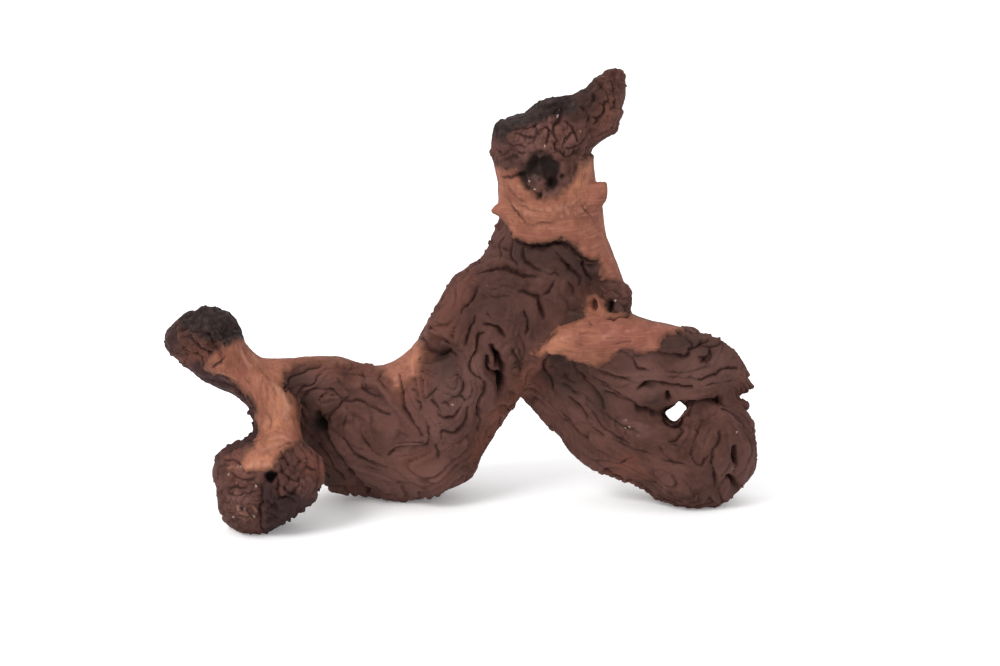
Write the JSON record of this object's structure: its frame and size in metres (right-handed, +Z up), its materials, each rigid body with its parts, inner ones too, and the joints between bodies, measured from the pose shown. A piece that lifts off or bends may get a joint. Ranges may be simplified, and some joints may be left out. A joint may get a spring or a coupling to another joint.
{
  "type": "dry driftwood root",
  "caption": "Branching dry root of weathered wood with folded dark bark, smooth bare bands, knobs, a hollow and a hole, standing on three worn spots.",
  "frame": {"origin": "middle of the bounding box at floor height, under the root", "axes": "+X to the right lobe seen from the front, -Y to the front, +Z up"},
  "size_m": [0.2984, 0.113, 0.2237],
  "materials": {
    "root_wood": "matte, dark folded bark with bare tan bands and charred ends"
  },
  "bodies": {
    "root": {"dry_root": "root_wood"}
  },
  "joints": []
}
